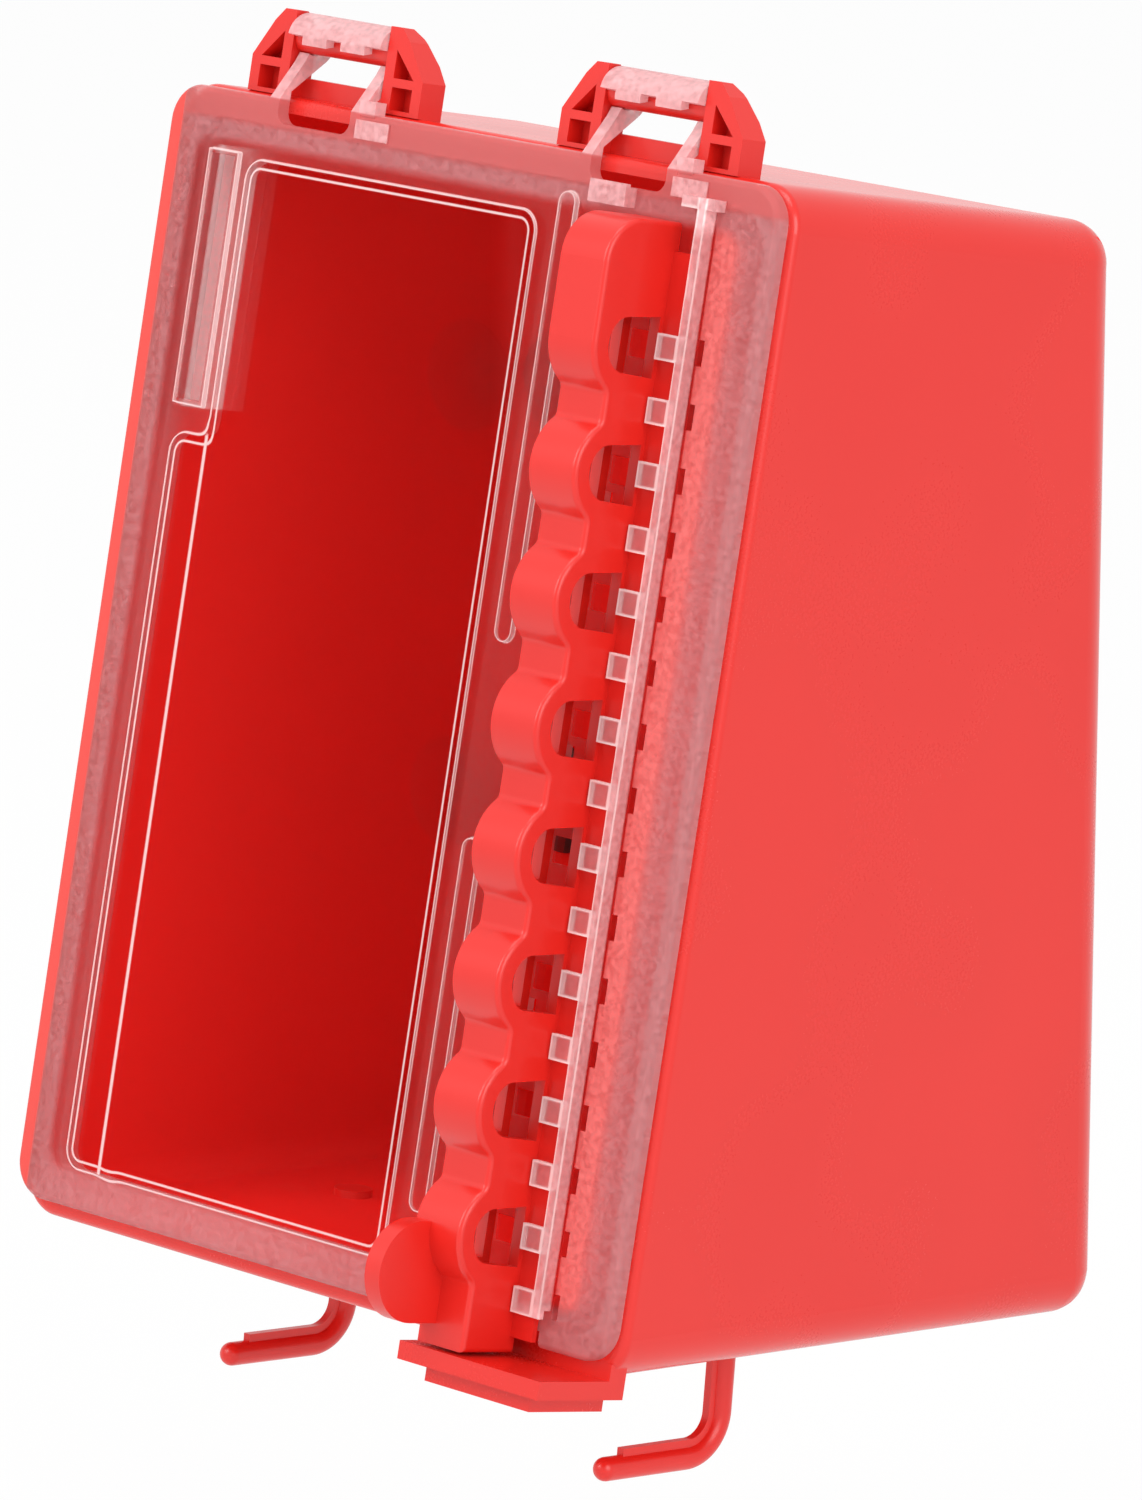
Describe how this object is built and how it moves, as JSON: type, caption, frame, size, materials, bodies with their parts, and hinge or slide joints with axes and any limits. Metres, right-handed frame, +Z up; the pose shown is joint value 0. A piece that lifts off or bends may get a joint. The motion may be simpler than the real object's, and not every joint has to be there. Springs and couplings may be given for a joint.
{
  "type": "group lockout box",
  "caption": "Wedge-shaped wall box for keys with a clear top-hinged cover, a key slot and a sliding scalloped lock bar that takes a row of padlocks",
  "frame": {"origin": "middle of the flat wall face of the case", "axes": "+Z up, +Y into the wall, so the cover faces -Y, and +X to the right seen from the front"},
  "size_m": [0.1564, 0.1531, 0.2523],
  "materials": {
    "red_plastic": "gloss",
    "clear_plastic": "clear plastic, frosted round a polished window",
    "black_plastic": "satin"
  },
  "bodies": {
    "box": {"case": "red_plastic", "hinge_yoke_left": "red_plastic", "hinge_yoke_right": "red_plastic", "hinge_pin_left": "red_plastic", "hinge_pin_right": "red_plastic", "storage_hook_left": "red_plastic", "storage_hook_right": "red_plastic"},
    "cover": {"cover": "clear_plastic", "key_slot_baffle": "clear_plastic"},
    "lock_bar": {"lock_bar": "red_plastic"},
    "button_lower": {"wall_button_lower": "black_plastic"},
    "button_upper": {"wall_button_upper": "black_plastic"}
  },
  "joints": [
    {"name": "cover_hinge", "type": "hinge", "parent": "box", "child": "cover", "pos_m": [0, -0.0773, 0.11441], "axis": [-1, 0, 0], "range_deg": [0, 110]},
    {"name": "lock_bar_slide", "type": "slide", "parent": "cover", "child": "lock_bar", "axis": [0, 0.1994, 0.9799], "range_m": [0, 0.004]},
    {"name": "button_lower_slide", "type": "slide", "parent": "box", "child": "button_lower", "axis": [1, 0, 0], "range_m": [0, 0.005]},
    {"name": "button_upper_slide", "type": "slide", "parent": "box", "child": "button_upper", "axis": [1, 0, 0], "range_m": [0, 0.005]}
  ]
}
